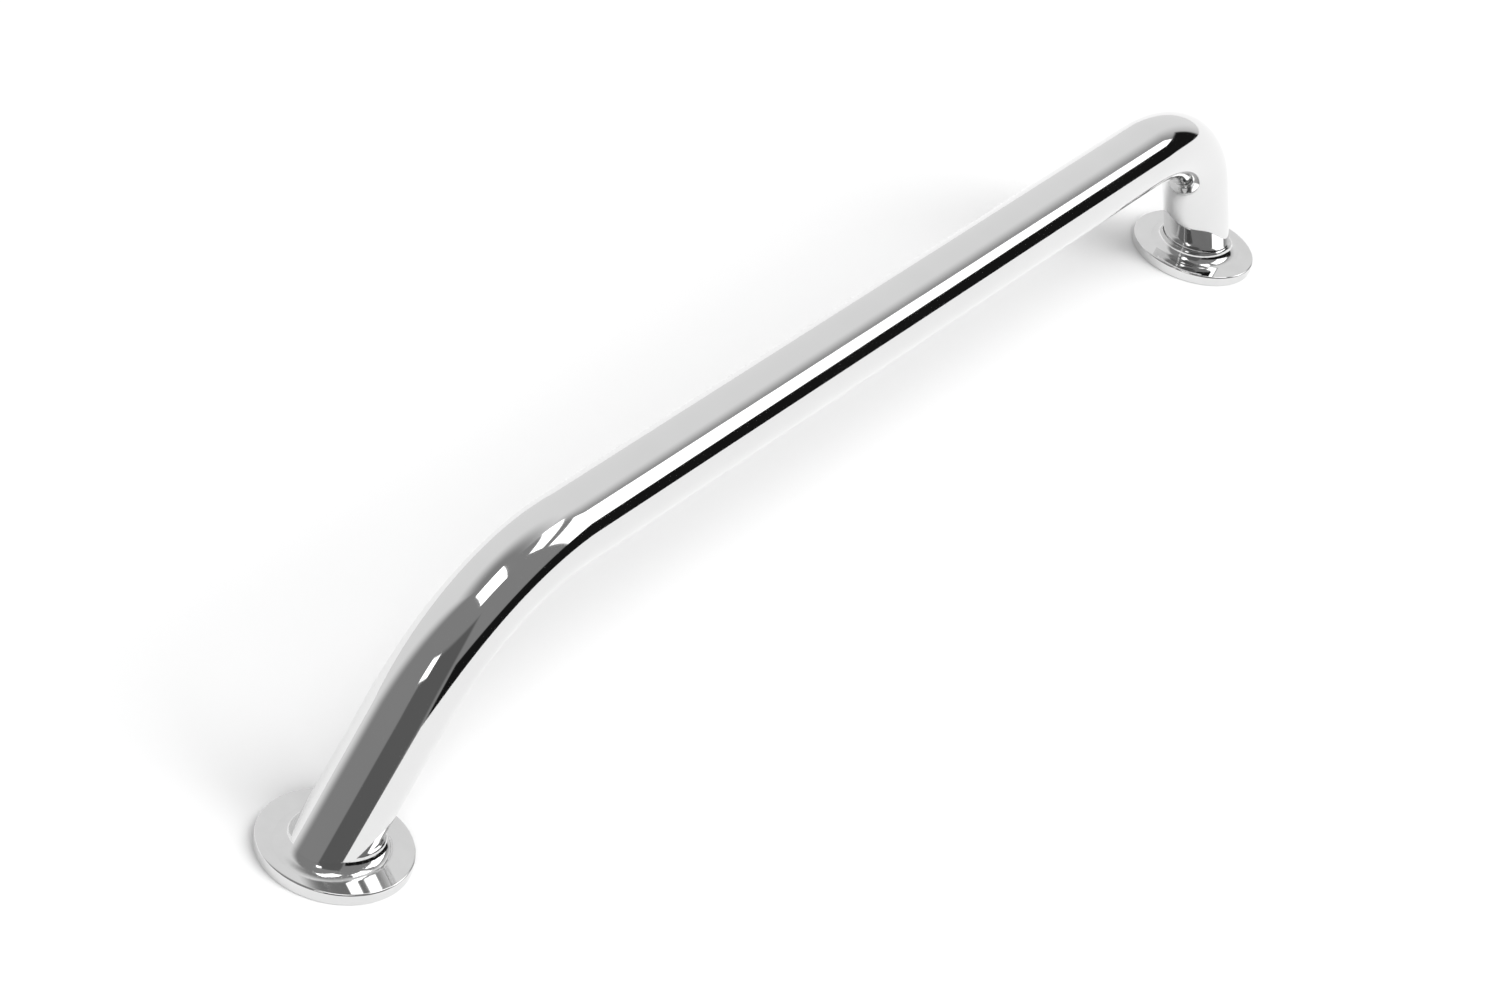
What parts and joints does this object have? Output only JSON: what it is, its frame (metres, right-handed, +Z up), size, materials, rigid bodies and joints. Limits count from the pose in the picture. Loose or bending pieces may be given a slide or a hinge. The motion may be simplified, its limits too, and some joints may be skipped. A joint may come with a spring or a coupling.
{
  "type": "grab rail",
  "caption": "Symmetric grab rail of bent, mirror-polished stainless tube with inward-leaning legs on round flanges, fixed from below through hidden threaded inserts.",
  "frame": {"origin": "midway between the two feet, on the deck face under the flanges", "axes": "+X runs along the rail from foot to foot, +Y across it, +Z up from the deck"},
  "size_m": [0.593, 0.048, 0.0885],
  "materials": {
    "tube_steel": "mirror-polished stainless steel",
    "flange_steel": "mirror-polished stainless steel",
    "weld_steel": "ground and polished stainless weld",
    "insert_steel": "turned stainless steel",
    "raw_weld_steel": "stainless weld as laid"
  },
  "bodies": {
    "root": {"rail_tube": "tube_steel", "left_flange": "flange_steel", "right_flange": "flange_steel", "left_seam_weld": "weld_steel", "right_seam_weld": "weld_steel", "left_insert": "insert_steel", "right_insert": "insert_steel", "left_insert_weld": "raw_weld_steel", "right_insert_weld": "raw_weld_steel"}
  },
  "joints": []
}
